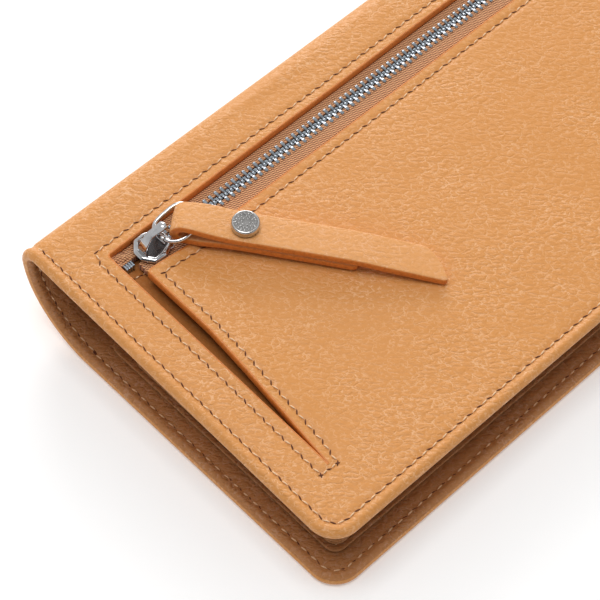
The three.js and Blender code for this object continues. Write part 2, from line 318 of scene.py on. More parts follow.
def closed_sheet(x, y, top, bottom, keep=None, split=None):
    """A closed skin over a grid; `keep` marks its cells and `split` = (column, rows, twins) opens a slit."""
    ny, nx = x.shape
    count = ny * nx
    index = np.arange(count).reshape(ny, nx)
    layers = [np.stack([x.ravel(), y.ravel(), z.ravel()], 1) for z in (top, bottom)]
    twin = {}
    if split:
        column, rows, twins = split
        twin = {index[i, column]: 2 * count + n for n, i in enumerate(rows)}
        layers += [twins[:, [0, 1, 2]], twins[:, [0, 1, 3]]]
    extra = len(twin)
    faces, edges = [], set()
    for i in range(ny - 1):
        for j in range(nx - 1):
            if keep is not None and not keep[i, j]:
                continue
            ring = [index[i, j], index[i, j + 1], index[i + 1, j + 1], index[i + 1, j]]
            if split and j == split[0]:
                ring = [twin.get(v, v) for v in ring]
            faces.append(ring)
            faces.append([v + (extra if v >= 2 * count else count) for v in reversed(ring)])
            edges.update(zip(ring, ring[1:] + ring[:1]))
    for a, b in edges:
        if (b, a) not in edges:
            under = [v + (extra if v >= 2 * count else count) for v in (a, b)]
            faces.append([b, a, *under])
    return np.concatenate(layers), faces


# ---- materials ----
def srgb(r, g, b):
    """A screen colour, 0 to 255, as the light it stands for."""
    return tuple(c / 255 / 12.92 if c <= 10 else ((c / 255 + 0.055) / 1.055) ** 2.4 for c in (r, g, b))


def shaded(colour, *shares):
    """A colour with each channel scaled."""
    return tuple(min(1.0, c * s) for c, s in zip(colour, shares))


def shader(name, colour, roughness=0.5, metallic=0.0):
    """A material of one plain colour, with its node tree and surface node."""
    material = bpy.data.materials.new(name)
    material.use_nodes = True
    tree = material.node_tree
    surface = tree.nodes["Principled BSDF"]
    surface.inputs["Base Color"].default_value = (*colour, 1)
    surface.inputs["Roughness"].default_value = roughness
    surface.inputs["Metallic"].default_value = metallic
    return material, tree, surface


def feed(tree, socket, value):
    """Link a socket to another, or give it a plain value."""
    if isinstance(value, bpy.types.NodeSocket):
        tree.links.new(value, socket)
    else:
        socket.default_value = value


def add(tree, kind, **values):
    """A node with its sockets and settings given by name."""
    made = tree.nodes.new(kind)
    for key, value in values.items():
        socket = made.inputs.get(key.replace("_", " "))
        if socket is None:
            setattr(made, key, value)
        else:
            feed(tree, socket, value)
    return made


def coords(tree, scale=(1, 1, 1), turn=0.0, where=None):
    """Position in metres, turned about Z and then scaled."""
    where = where or add(tree, "ShaderNodeTexCoord").outputs["Object"]
    return add(tree, "ShaderNodeMapping", Vector=where, Rotation=(0, 0, turn), Scale=scale).outputs["Vector"]


def cover_coords(tree):
    """Position in the front cover's own frame, in mm."""
    where = add(tree, "ShaderNodeTexCoord")
    turned = add(tree, "ShaderNodeMapping", vector_type="TEXTURE", Vector=where.outputs["Object"],
                 Location=front_origin * MM, Rotation=(slope, 0, 0), Scale=(MM, MM, MM))
    split = add(tree, "ShaderNodeSeparateXYZ", Vector=turned.outputs["Vector"])
    return split.outputs


def noise(tree, where, scale, detail, output="Fac"):
    """Soft noise with `scale` swings to the metre."""
    return add(tree, "ShaderNodeTexNoise", Vector=where, Scale=scale, Detail=detail).outputs[output]


def ramp(tree, value, stops):
    """Colours at (position, colour) stops along a value."""
    made = add(tree, "ShaderNodeValToRGB", Fac=value)
    ends = made.color_ramp.elements
    ends[0].position, ends[1].position = stops[0][0], stops[-1][0]
    ends[0].color, ends[1].color = (*stops[0][1], 1), (*stops[-1][1], 1)
    for position, colour in stops[1:-1]:
        ends.new(position).color = (*colour, 1)
    return made.outputs["Color"]


def spread(tree, value, low, high, **more):
    """A value from 0 to 1, or From_Min to From_Max, stretched to low to high."""
    return add(tree, "ShaderNodeMapRange", Value=value, To_Min=low, To_Max=high, **more).outputs["Result"]


def mix(tree, share, a, b):
    """Colour a turning into colour b as the share rises."""
    made = tree.nodes.new("ShaderNodeMix")
    made.data_type = "RGBA"
    for socket, value in ((made.inputs[0], share), (made.inputs[6], a), (made.inputs[7], b)):
        feed(tree, socket, (*value, 1) if isinstance(value, tuple) else value)
    return made.outputs[2]


def maths(tree, how, *values):
    """One sum on sockets or numbers."""
    made = add(tree, "ShaderNodeMath", operation=how)
    for socket, value in zip(made.inputs, values):
        feed(tree, socket, value)
    return made.outputs[0]


def bump(tree, height, distance, strength=0.6, under=None):
    """Relief `distance` mm deep, over another's normal where one is given."""
    more = {"Normal": under} if under is not None else {}
    return add(tree, "ShaderNodeBump", Height=height, Strength=strength, Distance=distance * MM,
               **more).outputs["Normal"]


def finish(tree, surface, colour, roughness, normal):
    """Lead what has been worked out into the surface."""
    for socket, value in (("Base Color", colour), ("Roughness", roughness), ("Normal", normal)):
        tree.links.new(value, surface.inputs[socket])


def borders(tree, where, size, width):
    """Irregular cells `size` mm across: 1 on their winding borders and 0 inside, and their domes."""
    cells = add(tree, "ShaderNodeTexVoronoi", feature="DISTANCE_TO_EDGE", Vector=where, Scale=1 / (size * MM))
    far = cells.outputs["Distance"]
    shoulder = 0.3
    return (spread(tree, far, 1.0, 0.0, From_Max=width, interpolation_type="SMOOTHSTEP"),
            spread(tree, far, 0.0, 1.0, From_Max=shoulder, interpolation_type="SMOOTHSTEP"))


def leather(name, colour, pebble=1.5, depth=0.13, gloss=0.38, lines=0.85):
    """Milled leather: low pebbles with painted highlights on their borders here and there, and a slow drift
    of tone.
    """
    material, tree, surface = shader(name, colour, gloss)
    where = coords(tree)
    turned = coords(tree, turn=math.radians(45), where=where)
    drawn_out = coords(tree, (0.48, 1, 1), where=turned)
    bent = add(tree, "ShaderNodeVectorMath", operation="MULTIPLY_ADD")
    warp = noise(tree, where, 450.0, 2.0, "Color")
    for socket, value in zip(bent.inputs, (warp, (1.3 * MM,) * 3, drawn_out)):
        feed(tree, socket, value)
    rim, dome = borders(tree, bent.outputs[0], pebble, 0.06)
    small_rim, small_dome = borders(tree, bent.outputs[0], pebble * 0.5, 0.09)
    fine = noise(tree, where, 2300.0, 5.0)
    broken = spread(tree, noise(tree, where, 900.0, 2.0), 0.0, 1.0, From_Min=0.44, From_Max=0.56)
    patch = spread(tree, noise(tree, where, 70.0, 2.0), 0.5, 1.0, From_Min=0.36, From_Max=0.6)
    # painted highlight: pale broken dashes along the pebbles' borders stand in for light caught on the grain
    painted_glint_mask = maths(tree, "MAXIMUM", rim, maths(tree, "MULTIPLY", small_rim, 0.7))
    painted_glint_mask = maths(tree, "MULTIPLY", maths(tree, "MULTIPLY", painted_glint_mask, broken), patch)
    relief = maths(tree, "ADD", dome, maths(tree, "MULTIPLY", small_dome, 0.35))
    normal = bump(tree, maths(tree, "MULTIPLY", relief, patch), depth, 0.7)
    normal = bump(tree, fine, 0.08, 0.6, normal)
    drift = noise(tree, where, 30.0, 2.0)
    tone = mix(tree, maths(tree, "MULTIPLY", drift, 0.3), colour, shaded(colour, 1.05, 1.06, 1.08))
    tone = mix(tree, maths(tree, "MULTIPLY", fine, 0.16), tone, shaded(colour, 0.86, 0.78, 0.7))
    tone = mix(tree, maths(tree, "MULTIPLY", painted_glint_mask, lines), tone, shaded(colour, 1.27, 1.68, 3.2))
    finish(tree, surface, tone, spread(tree, fine, gloss - 0.06, gloss + 0.12), normal)
    surface.inputs["Specular IOR Level"].default_value = 0.3
    return material


def coated(name, colour, roughness=0.45, grain=1400.0, depth=0.04):
    """A smooth coat with a faint fleck: painted edges, thread, and the painted shade in needle holes."""
    material, tree, surface = shader(name, colour, roughness)
    fleck = noise(tree, coords(tree), grain, 4.0)
    stops = [(0.3, shaded(colour, 0.78, 0.7, 0.62)), (0.55, colour), (0.8, shaded(colour, 1.1, 1.12, 1.15))]
    finish(tree, surface, ramp(tree, fleck, stops), spread(tree, fleck, roughness - 0.08, roughness + 0.1),
           bump(tree, fleck, depth))
    return material


def twill(name, light, dark, rib=WEAVE, row=TAPE_ROW):
    """Slanted threads in rows along the zip, in the front cover's own frame, with painted shade where the
    threads lie low between each other.
    """
    material, tree, surface = shader(name, light, 0.8)
    x, y, _ = cover_coords(tree)
    rows = maths(tree, "MULTIPLY", y, math.pi / row)
    slant = maths(tree, "ADD", maths(tree, "MULTIPLY", x, math.pi / rib), maths(tree, "MULTIPLY", rows, 0.5))
    across = maths(tree, "ABSOLUTE", maths(tree, "SINE", rows))
    along = maths(tree, "ABSOLUTE", maths(tree, "SINE", slant))
    height = maths(tree, "MULTIPLY", along, maths(tree, "POWER", across, 0.5))
    fuzz = noise(tree, coords(tree), 2600.0, 4.0)
    level = maths(tree, "ADD", maths(tree, "MULTIPLY", height, 0.75), maths(tree, "MULTIPLY", fuzz, 0.4))
    # painted shade: the darkest stop goes on the low places between the threads
    stops = [(0.3, dark), (0.62, shaded(light, 0.8, 0.72, 0.66)), (0.92, light)]
    finish(tree, surface, ramp(tree, level, stops), spread(tree, fuzz, 0.65, 0.9),
           bump(tree, level, 0.12, 0.7))
    surface.inputs["Sheen Weight"].default_value = 0.2
    return material


def metal(name, colour, roughness, wear):
    """Plated metal with faint marks in its polish."""
    material, tree, surface = shader(name, colour, roughness, 1.0)
    marks = noise(tree, coords(tree, (1, 1, 0.3)), 900.0, 6.0)
    finish(tree, surface, ramp(tree, marks, [(0.3, shaded(colour, 0.82, 0.82, 0.82)), (0.7, colour)]),
           spread(tree, marks, max(0.02, roughness - wear), roughness + wear), bump(tree, marks, 0.01, 0.4))
    return material


skin = leather("pebbled_leather", srgb(210, 144, 78))
strap_skin = leather("strap_leather", srgb(220, 156, 94), pebble=1.3, depth=0.1, lines=0.55)
# a darker copy of the leather for the inward faces, pockets and slots: painted shade of the wallet's inside
inner_shaded_skin = leather("inner_leather", srgb(180, 122, 72), pebble=1.7, depth=0.3, gloss=0.5, lines=0.7)
# a darker copy of the leather, painted shade for the gusset in the gap under the flap
gusset_shaded_skin = leather("gusset_leather", srgb(170, 106, 50), pebble=1.4, depth=0.1, gloss=0.5, lines=0.35)
edge_paint = coated("edge_paint", srgb(212, 124, 50), 0.42)
thread = coated("thread", srgb(236, 198, 156), 0.6, grain=5200.0)
# dark brown: painted shade in the needle holes between stitches
hole_shade = coated("needle_hole_shade", srgb(100, 52, 26), 0.8)
# each weave's second colour is painted shade for the low places between its threads
weave = twill("zip_weave", srgb(228, 174, 126), srgb(112, 58, 28))
cloth = twill("lining_weave", srgb(150, 100, 62), srgb(90, 56, 34), 0.8, 0.8)
teeth_metal = metal("teeth_metal", (0.38, 0.42, 0.46), 0.22, 0.08)
nickel = metal("polished_nickel", (0.66, 0.66, 0.67), 0.09, 0.03)
rivet_metal = metal("rivet_nickel", (0.6, 0.59, 0.58), 0.2, 0.06)
rivet_ground = metal("rivet_ground", (0.36, 0.35, 0.34), 0.26, 0.06)
# near-black nickel, painted shade for the floor of the slider's recess
recess_shade_nickel = metal("recess_shade_nickel", (0.11, 0.1, 0.1), 0.25, 0.06)


# ---- stitching ----
def bean(centre, along, across, up, length, width, height, sides=6, steps=4):
    """One short rounded stitch lying along a seam."""
    rings = []
    for i in range(steps + 1):
        t = 2 * i / steps - 1
        full = max(0.18, math.sqrt(max(0, 1 - t * t)))
        middle = centre + along * (t * length / 2) + up * ((1 - t * t) * height)
        wide, tall = across * (width / 2 * full), up * (width * 0.4 * full)
        rings.append([tuple(middle + wide * math.cos(a) + tall * math.sin(a)) for a in around(sides)])
    return loft(rings)


def resampled(line, step):
    """(point, up) pairs of a seam, `step` apart or a little less, with the direction at each."""
    lengths = np.concatenate([[0], np.cumsum([(b[0] - a[0]).length for a, b in zip(line[:-1], line[1:])])])
    table = np.array([[*p, *u] for p, u in line])
    count = max(1, round(lengths[-1] / step))

    def at(s):
        """(point, up) a length s along the seam."""
        values = [float(np.interp(s, lengths, table[:, k])) for k in range(6)]
        return Vector(values[:3]), Vector(values[3:]).normalized()

    out = []
    for i in range(2 * count + 1):
        s = i * lengths[-1] / (2 * count)
        point, up = at(s)
        along = (at(s + 0.6)[0] - at(s - 0.6)[0]).normalized()
        out.append((point, up, along))
    return out, lengths[-1] / count


def sew(name, line, place=ROW, body=None, pitch=STITCH, lean=8, width=THREAD):
    """Thread in short slanted stitches, and dark marks between them as painted shade in the needle holes,
    along (point, up) pairs.
    """
    marks, pitch = resampled(line, pitch)
    threads, hole_shades = [], []
    for i, (point, up, along) in enumerate(marks):
        is_thread = i % 2 == 1
        turn = lean + random.uniform(-3, 3) if is_thread else -2.4 * lean
        along = Matrix.Rotation(math.radians(turn), 3, up) @ along
        across = up.cross(along).normalized()
        if is_thread:
            threads.append(bean(point - up * 0.12, along, across, up, pitch * 0.54, width, 0.14))
        else:
            # painted shade: a flat dark bean sunk into each needle hole
            hole_shades.append(bean(point - up * 0.17, along, across, up, pitch * 0.5, width * 0.9, 0.0))
    made = [piece(name, gather(threads), thread, place, body, sharp=80)]
    made.append(piece(name + "_hole_shades", gather(hole_shades), hole_shade, place, body, sharp=80))
    return made


# ---- shape of the front cover, in its own frame: outer face at 0, spine side at y 0 ----
def slit_edge(y):
    """Where the flap's free edge runs beside the slit; it meets the frame at the slit's end."""
    share = np.clip((np.asarray(y, float) - slit_end) / (slit_end / 2 - slit_end), 0, 1)
    return -window_half + slit_width * share ** 0.85


def flap_edge(x):
    """The flap's edge along the zip; its free corner has crept a little towards the spine."""
    return window_bottom + 0.7 * (1 - smooth(-window_half + slit_width, -window_half + 34, x))


def flap_lift(x, y):
    """How far the flap stands up beside the slit, most at its free corner."""
    return 1.7 * (1 - smooth(0, 15, x - slit_edge(y))) * smooth(slit_end, -46, y)


def frame_level(x, y):
    """Height of the outer face before seams and rims, fading out at the spine."""
    puff = 0.17 * ripple(x, y, 17) + 0.06 * ripple(x, y, 6.5, 2.0)
    return puff * smooth(0, -2.5, y)


def flap_level(x, y):
    """Height of the flap's outer face before seams and rims."""
    return frame_level(x, y) + flap_lift(x, y)


def raised(points, level, up=1):
    """(point, up) pairs of a seam: each plan point at its height."""
    return [(Vector((x, y, float(level(x, y)))), Vector((0, 0, up))) for x, y in points]


def edge_seam(half, depth, inset, start=0.0):
    """Plan of the seam beside three edges of a cover, from the spine round to the spine."""
    r = CORNER - inset
    left = [(-half + inset, start), *arc(-half + CORNER, -depth + CORNER, r, 2, 3, 8)]
    return left + [(-x, y) for x, y in reversed(left)]


left_seam_x = -window_half - 2.75
zip_seam = [(window_half + SEAM, window_top + 2.4), (left_seam_x + 1.3, window_top + 2.4),
            (left_seam_x, window_top - 0.6), (left_seam_x + 0.1, -50.0), (left_seam_x - 0.3, slit_end - 1.2)]
slit_seam_y = np.linspace(slit_end + 4, window_bottom - 3.0, 8)
slit_seam = [(-window_half + 1.6, slit_end - 1.5)]
slit_seam += [(float(slit_edge(y)) + 2.3, float(y)) for y in slit_seam_y]
flap_seam_x = np.linspace(slit_seam[-1][0], window_half + SEAM, 24)
flap_seam = [(float(x), float(flap_edge(x)) - SEAM + 0.3) for x in flap_seam_x]
end_tack = [zip_seam[-1], slit_seam[0]]
right_join = [flap_seam[-1], zip_seam[0]]
cut_seams = [zip_seam, end_tack, slit_seam, flap_seam, right_join]


def off_path(x, y, path):
    """Distance from points to a polyline."""
    best = np.full(np.shape(x), 1e9)
    for (ax, ay), (bx, by) in zip(path[:-1], path[1:]):
        dx, dy = bx - ax, by - ay
        t = np.clip(((x - ax) * dx + (y - ay) * dy) / (dx * dx + dy * dy + 1e-12), 0, 1)
        best = np.minimum(best, np.hypot(x - ax - t * dx, y - ay - t * dy))
    return best


def pleats(along, across, edge):
    """Small gathers where the leather is turned in round an edge, running in from it."""
    waves = np.abs(np.sin(math.pi * (along + 0.5 * ripple(along, across, 4)) / PLEAT))
    run = smooth(0.3, 1.2, edge) * (1 - smooth(2.2, 4.2, edge))
    return 0.3 * waves * run * (0.7 + 0.3 * ripple(along, across, 9))


def along_edge(x, y, half, depth):
    """Distance measured along a cover's nearest edge."""
    return np.where(half - np.abs(x) < depth + y, y, x)


def edge_relief(edge):
    """Seam groove and the soft roll outside it, beside a turned edge."""
    return 0.2 * hump(edge, 1.45, 0.85) - GROOVE * hump(edge, SEAM, 0.7)


def front_cover_skin():
    """Outer leather of the front cover, with the zip window cut out and the slit open beside the flap."""
    r = LEATHER / 2
    left = [-front_half + e for e in rim_lines(r)[:-1]] + spaced(-front_half + r, -window_half, 0.45)
    middle = spaced(-window_half, -window_half + 12, 0.5) + spaced(-window_half + 12, window_half, 1.1)
    right = spaced(window_half, front_half - r, 0.5) + [front_half - e for e in reversed(rim_lines(r))]
    xs = left + middle + right
    ys = [-front_depth + e for e in rim_lines(r)[:-1]] + spaced(-front_depth + r, slit_end, 0.5)
    ys += spaced(slit_end, window_bottom - 9, 0.8) + spaced(window_bottom - 9, window_bottom, 0.4)
    ys += spaced(window_bottom, window_top, 1.0) + spaced(window_top, 0, 0.5) + [0.0]
    x, y, edge = plan_grid((-front_half, -front_depth), (front_half, front_depth), xs, ys, CORNER)
    first, last = len(left), len(left) + len(middle)
    rows = np.array(ys)
    low, bottom_row, top_row = (int(np.argmin(abs(rows - v))) for v in (slit_end, window_bottom, window_top))
    flap = np.zeros_like(x, bool)
    flap[low:bottom_row + 1, first + 1:last + 1] = True
    near_zip = smooth(window_bottom - 9, window_bottom, y)
    x = x + (slit_edge(y) + window_half) * (1 - smooth(0, 30, x + window_half)) * flap
    y = y + (flap_edge(x) - window_bottom) * near_zip * flap

    def faces_at(x, y, edge, on_flap):
        """Heights of the outer and the inner face."""
        gathers = pleats(along_edge(x, y, front_half, front_depth), 0 * y, edge) * smooth(0, 3, -y)
        level = np.where(on_flap, flap_level(x, y), frame_level(x, y))
        groove = np.minimum(1, sum(hump(off_path(x, y, p), 0, 0.7) for p in cut_seams))
        calm = smooth(0, 2.5, edge)
        relief = level * calm - GROOVE * groove + edge_relief(edge)
        return relief - rim_drop(edge), level * calm - LEATHER + rim_drop(edge) - edge_relief(edge) - gathers

    top, bottom = faces_at(x, y, edge, flap)
    keep = np.ones((len(ys) - 1, len(xs) - 1), bool)
    keep[bottom_row:top_row, first:last] = False
    slit_rows = range(low + 1, bottom_row + 1)
    far_y = rows[low + 1:bottom_row + 1]
    near_zip = smooth(window_bottom - 9, window_bottom, far_y)
    far_y = far_y + (flap_edge(slit_edge(far_y)) - window_bottom) * near_zip
    far_x = slit_edge(far_y)
    far_top, far_bottom = faces_at(far_x, far_y, np.full_like(far_y, CORNER), True)
    twins = np.stack([far_x, far_y, far_top, far_bottom], 1)
    shape = closed_sheet(x, y, top, bottom, keep, (first, slit_rows, twins))
    obj = piece("front_cover_skin", shape, skin, FRONT, "front_cover", sharp=50,
                replaces=["front_cover_leather"])
    # painted shade: the inward face takes the darker inner leather
    second_material(obj, inner_shaded_skin, lambda face: face.normal.z < -0.55)


def banded(points, level, profile, side):
    """A band along plan points: (out, height) profile points carried with the path, out to one side."""
    rings = []
    for i, (x, y) in enumerate(points):
        along_x, along_y = heading(points, i)
        z = float(level(x, y))
        rings.append([(x - along_y * side * o, y + along_x * side * o, z + h) for o, h in profile])
    return loft(rings)


def painted_edges():
    """The rounded, painted edge of the leather all round the window and the slit."""
    h = LEATHER
    profile = [(-0.4, -0.05), (-0.2, 0.04), (0.0, -0.02), (0.15, -0.2), (0.24, -0.6), (0.25, -h * 0.5),
               (0.22, -h + 0.5), (0.1, -h + 0.08), (-0.3, -h - 0.03), (-0.42, -h * 0.5)]
    w, t, r = window_half, window_top, 0.9
    frame_side = flat_path([(-w, slit_end - 0.4), (-w, t - r)], 1.2)
    frame_side += arc(-w + r, t - r, r, 2, 1) + flat_path([(-w + 2 * r, t), (w - r, t)], 2.0)
    frame_side += arc(w - r, t - r, r, 1, 0) + [(w, window_bottom - 0.4)]
    bands = [banded(frame_side, frame_level, profile, -1)]
    corner_x, corner_y = -w + slit_width, float(flap_edge(-w + slit_width))
    flap_side = [(float(slit_edge(y)), float(y)) for y in np.linspace(slit_end - 0.2, corner_y - 1.4 * r, 44)]
    flap_side += arc(corner_x + r, corner_y - r, r, 2, 1)
    flap_side += [(float(x), float(flap_edge(x))) for x in np.linspace(corner_x + 2 * r, w + 0.3, 70)]
    bands.append(banded(flap_side, flap_level, profile, 1))
    piece("cut_edge_paint", gather(bands), edge_paint, FRONT, "front_cover", sharp=60)


def front_seams():
    """The stitching on the front cover: (name, plan, level, pitch, lean) of each seam."""
    for name, points, level, pitch, lean in (
            ("front_edge_stitches", edge_seam(front_half, front_depth, SEAM), frame_level, STITCH, 7),
            ("zip_seam_stitches", zip_seam, frame_level, 3.0, 11),
            ("slit_tack_stitches", end_tack, frame_level, 2.0, 11),
            ("slit_seam_stitches", slit_seam, flap_level, 2.9, 15),
            ("flap_seam_stitches", flap_seam, flap_level, 3.0, 9),
            ("window_end_stitches", right_join, frame_level, 3.0, 9)):
        sew(name, raised(flat_path(points, 0.8), level), FRONT, "front_cover", pitch, lean)


front_cover_skin()
painted_edges()
front_seams()


# ---- back cover and the spine ----
def back_cover_skin():
    """Leather of the back cover: flat below, with gathers on the turned-in margin above."""
    r = LEATHER / 2
    xs = grid_lines(-back_half, back_half, r, 0.4, 0.8, 7)
    ys = grid_lines(-back_depth, 0, r, 0.4, 0.5, 7, end_rim=False)
    x, y, edge = plan_grid((-back_half, -back_depth), (back_half, back_depth), xs, ys, CORNER)
    gathers = pleats(along_edge(x, y, back_half, back_depth), 0 * y, edge) * smooth(0, 3, -y)
    inner = LEATHER + edge_relief(edge) + gathers - rim_drop(edge)
    outer = rim_drop(edge) + 0.2 * hump(edge, SEAM, 0.7)
    shape = closed_sheet(x, y, inner, outer)
    obj = piece("back_cover_skin", shape, skin, BACK, "back_cover", replaces=["back_cover_leather"])
    # painted shade: the inward face takes the darker inner leather
    second_material(obj, inner_shaded_skin, lambda face: face.normal.z > 0.55)
    for name, z, up, inset in (("back_margin_stitches", LEATHER, 1, SEAM - 0.3),
                               ("back_outer_stitches", 0.42, -1, SEAM)):
        points = flat_path(edge_seam(back_half, back_depth, inset), 0.8)
        sew(name, raised(points, lambda x, y: z, up), BACK, "back_cover", lean=7)


def fold_point(turn, depth=0.0):
    """(y, z) at an angle round the spine and then round the tight bend, `depth` below the outer face."""
    quarter = math.pi / 2
    if turn <= quarter:
        r = spine_r - depth
        return spine_y + r * math.sin(turn), spine_r - r * math.cos(turn)
    r = bend_r - depth
    return bend_y + r * math.cos(turn - quarter), spine_r + r * math.sin(turn - quarter)


def faces_fold_centre(face):
    """True for a face on the hollow side of the spine or the bend."""
    centre = face.center / MM
    out = Vector((0, centre.y - (spine_y if centre.z <= spine_r else bend_y), centre.z - spine_r))
    return face.normal.dot(out.normalized()) < -0.55


full_turn = math.pi / 2 + bend_turn
spine_ends = [math.radians(37.5), math.radians(72.5)]  # where one stretch of the leather meets the next


def fold_half(turn):
    """Half the wallet's length at an angle round the spine."""
    return float(back_half + (front_half - back_half) * smooth(0, full_turn, turn))


def fold_turns(start, end):
    """Angles a third of a millimetre apart on the outer face."""
    quarter = math.pi / 2
    slow = spaced(start, min(end, quarter), 0.35 / spine_r) if start < quarter else []
    fast = spaced(max(start, quarter), end, 0.3 / bend_r) if end > quarter else []
    return slow + fast + [end]


def fold_skin(name, start, end, nodes):
    """One stretch of the leather round the spine, with its ends rolled and gathered like the covers'."""
    r = LEATHER / 2
    rings = []
    for turn in fold_turns(start, end):
        half = fold_half(turn)
        xs = np.array(grid_lines(-half, half, r, 0.5, 3.0, 7))
        edge = half - np.abs(xs)
        along = turn * spine_r
        outer = rim_drop(edge) - edge_relief(edge)
        calm = float(smooth(0, 3, along) * smooth(0, 3, full_turn * spine_r - along))
        gathers = calm * pleats(np.full_like(xs, along), 0 * xs, edge)
        inner = LEATHER - rim_drop(edge) + edge_relief(edge) + gathers
        ring = [(x, *fold_point(turn, d)) for x, d in zip(xs, outer)]
        ring += [(x, *fold_point(turn, d)) for x, d in reversed(list(zip(xs, inner)))]
        rings.append(ring)
    obj = piece(name, loft(rings, "strips"), skin, replaces=nodes)
    # painted shade: the hollow side of the fold takes the darker inner leather
    second_material(obj, inner_shaded_skin, faces_fold_centre)
    return obj


def fold_seam(name, start, end, depth):
    """Stitches round the spine at both ends of the wallet."""
    up = 1 if depth < LEATHER / 2 else -1
    made = []
    for side, mark in ((-1, "left"), (1, "right")):
        line = []
        for turn in fold_turns(start, end):
            y, z = fold_point(turn, depth)
            y_in, z_in = fold_point(turn, depth + 1)
            spot = Vector((side * (fold_half(turn) - SEAM), y, z))
            line.append((spot, Vector((0, y - y_in, z - z_in)) * up))
        made += sew(f"{name}_{mark}", line, lean=7)
    return made


def spine():
    """Three stretches of the leather round the spine, each laid over one fold, with their stitching."""
    marks = [0, *spine_ends, full_turn]
    nodes = [["spine_lower_leather"], ["spine_upper_leather"], ["front_bend_leather"]]
    for i, part in enumerate(("lower", "middle", "upper")):
        start, end = marks[i], marks[i + 1]
        made = [fold_skin(f"spine_{part}_skin", start, end, nodes[i])]
        made += fold_seam(f"spine_{part}_stitches", start, end, GROOVE)
        made += fold_seam(f"spine_{part}_margin_stitches", start, end, LEATHER)
        for obj in made:
            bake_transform(obj)


back_cover_skin()
spine()


# ---- pockets and linings ----
def tray_rise(x, y):
    """How far the front lining's margin rises to meet the cover, over its bulging middle."""
    edge_x = lining_high.x - np.abs(x)
    edge = np.minimum(edge_x, np.minimum(y - lining_low.y, lining_high.y - y))
    return (front_low.z - 0.35 - lining_high.z) * (1 - smooth(0, 7, edge))


lining_low, lining_high = placed_box("front_lining_panel")


def pocket_panel(node, place, body, facing, seamed=True, divided=False, rise=None):
    """A thin leather panel with a turned mouth on its spine side; facing is +1 where its face looks up."""
    low, high = placed_box(node, place)
    r = (high.z - low.z) / 2
    xs = grid_lines(low.x, high.x, r, 0.6, 2.5, 6)
    ys = grid_lines(low.y, high.y, r, 0.6, 2.5, 6)
    x, y, edge = plan_grid((low.x, low.y), (high.x, high.y), xs, ys, 3.0, both=True)
    lift = rise(x, y) if rise else 0
    seam = hump(edge, 2.0, 0.5) * (high.y - y > 4) if seamed else 0
    lip = 0.22 * hump(high.y - y, 1.2, 0.9)
    middle = 0.12 * hump(x, 0, 0.6) * (y < high.y - 2) if divided else 0
    wave = 0.1 * ripple(x, y, 12, low.z)
    face = r + lip - 0.15 * seam - middle - rim_drop(edge, r) + wave * smooth(0, 4, edge)
    back = r - rim_drop(edge, r)
    mid = (low.z + high.z) / 2 + lift
    top, bottom = (mid + face, mid - back) if facing > 0 else (mid + back, mid - face)
    # painted shade: the panels take the darker inner leather
    piece(node + "_leather", closed_sheet(x, y, top, bottom), inner_shaded_skin, place, body,
          replaces=[node])

    def level(px, py):
        """Height of the panel's face."""
        return (low.z + high.z) / 2 + facing * r + (rise(px, py) if rise else 0)

    a, b, c = low.x + 2, low.y + 2, high.y - 1
    seams = [("_stitches", [(a, c), (a, b), (-a, b), (-a, c)])] if seamed else []
    seams += [("_divider_stitches", [(0, c), (0, b + 1)])] if divided else []
    for ending, points in seams:
        line = raised(flat_path(points, 1.5), level, facing)
        sew(node + ending, line, place, body, 3.4, 5, 0.42)


def pockets():
    """A wide pocket with three stepped card slots over it, inside each cover."""
    pocket_panel("back_pocket_panel", ROW, "back_cover", 1)
    pocket_panel("front_lining_panel", FRONT, "front_cover", -1, rise=tray_rise)
    for i in (1, 2, 3):
        last = i == 3
        pocket_panel(f"back_card_slot_{i}", ROW, "back_cover", 1, last, last)
        pocket_panel(f"front_card_slot_{i}", FRONT, "front_cover", -1, last, last, tray_rise)


def coin_lining():
    """The coin pocket's cloth: one piece folded at the bottom, with its upper layer under the zip."""
    low, high = placed_box("coin_pocket_lining")
    upper, lower, r = COIN_TOP, low.z + 0.3, 0.15
    turn_y, turn_r = low.y + 2, (upper - lower) / 2
    path = [(y, upper) for y in spaced(high.y, turn_y, 2.5)]
    path += [(turn_y - turn_r * math.sin(a), (upper + lower) / 2 + turn_r * math.cos(a))
             for a in np.linspace(0, math.pi, 9)]
    path += [(y, lower) for y in spaced(turn_y + 2.5, high.y, 2.5)] + [(high.y, lower)]
    xs = grid_lines(low.x, high.x, r, 1.0, 3.0, 4)
    rings = []
    for i, (y, z) in enumerate(path):
        along_y, along_z = heading(path, i)
        sag = [(px, 0.12 * float(ripple(px, y, 9))) for px in xs]
        ring = [(px, y - along_z * r, z + along_y * r + s) for px, s in sag]
        ring += [(px, y + along_z * r, z - along_y * r + s) for px, s in reversed(sag)]
        rings.append(ring)
    obj = piece("coin_pocket_cloth", loft(rings, "strips"), cloth, FRONT, "front_cover",
                replaces=["coin_pocket_lining"])


